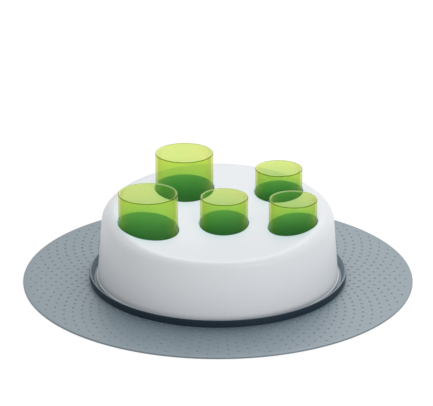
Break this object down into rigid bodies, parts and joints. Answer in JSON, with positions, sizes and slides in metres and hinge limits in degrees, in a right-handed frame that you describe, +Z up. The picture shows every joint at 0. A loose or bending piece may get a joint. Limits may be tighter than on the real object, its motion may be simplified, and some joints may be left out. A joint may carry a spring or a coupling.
{
  "type": "cat puzzle feeder",
  "caption": "Round non-slip mat with a low lip that holds a white base, whose sloping deck has wells for clear lift-out cups that a cat scoops food from.",
  "frame": {"origin": "centre of the mat's underside, on the surface that it lies on", "axes": "+Z up, along the mat's and the base's axis; +X to the right and -Y to the front, the low side of the deck"},
  "size_m": [0.3699, 0.37, 0.1081],
  "materials": {
    "mat": "soft satin blue-grey rubber",
    "base": "glossy white moulded plastic",
    "cup": "clear tinted moulded plastic"
  },
  "bodies": {
    "mat": {"mat": "mat"},
    "base": {"base_shell": "base"},
    "front_left_cup": {"front_left_cup": "cup"},
    "front_right_cup": {"front_right_cup": "cup"},
    "centre_cup": {"centre_cup": "cup"},
    "rear_left_cup": {"rear_left_cup": "cup"},
    "rear_right_cup": {"rear_right_cup": "cup"}
  },
  "joints": [
    {"name": "base_lift", "type": "slide", "parent": "mat", "child": "base", "axis": [0, 0, 1], "range_m": [0, 0.06]},
    {"name": "front_left_cup_lift", "type": "slide", "parent": "base", "child": "front_left_cup", "axis": [0, 0, 1], "range_m": [0, 0.1]},
    {"name": "front_right_cup_lift", "type": "slide", "parent": "base", "child": "front_right_cup", "axis": [0, 0, 1], "range_m": [0, 0.1]},
    {"name": "centre_cup_lift", "type": "slide", "parent": "base", "child": "centre_cup", "axis": [0, 0, 1], "range_m": [0, 0.1]},
    {"name": "rear_left_cup_lift", "type": "slide", "parent": "base", "child": "rear_left_cup", "axis": [0, 0, 1], "range_m": [0, 0.1]},
    {"name": "rear_right_cup_lift", "type": "slide", "parent": "base", "child": "rear_right_cup", "axis": [0, 0, 1], "range_m": [0, 0.1]}
  ]
}
